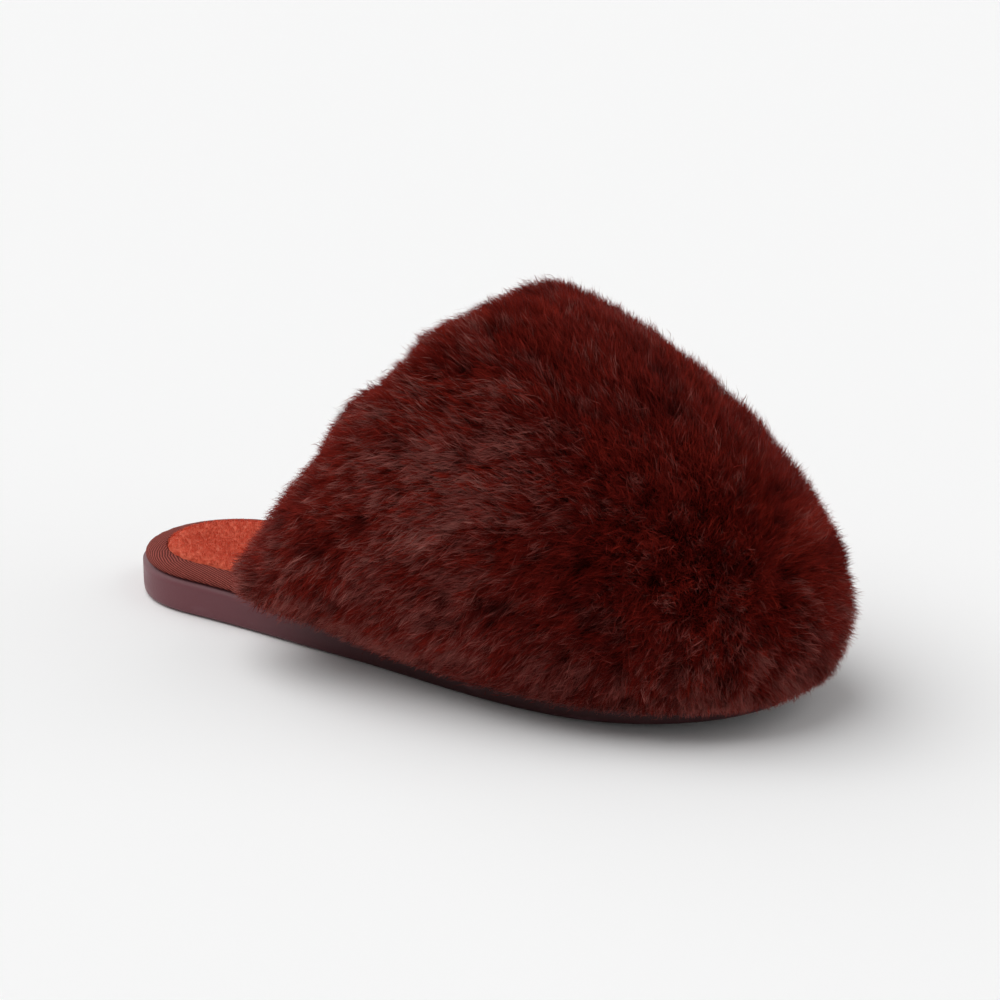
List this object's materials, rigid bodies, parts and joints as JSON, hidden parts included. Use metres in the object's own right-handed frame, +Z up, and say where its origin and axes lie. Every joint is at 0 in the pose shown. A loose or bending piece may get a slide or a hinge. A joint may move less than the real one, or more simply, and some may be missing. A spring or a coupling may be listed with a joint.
{
  "type": "scuff slipper",
  "caption": "Backless scuff slipper for the right foot: hollow vamp under deep faux fur, padded plush footbed with a taped edge, thin flat outsole with a sprung toe",
  "frame": {"origin": "on the floor, at the middle of the flat spot under the heel", "axes": "+X runs along the sole to the toe, +Y to the inner side of the foot, +Z up"},
  "size_m": [0.2719, 0.1412, 0.1293],
  "materials": {
    "outsole": "matt, dark plum, smooth side",
    "binding": "ribbed wine tape",
    "insole": "short orange-red plush",
    "upper": "plush lining on a padded wall",
    "fur": "deep wine-red faux fur"
  },
  "bodies": {
    "root": {"outsole": "outsole", "binding": "binding", "insole": "insole", "upper": "upper", "fur": "fur"}
  },
  "joints": []
}
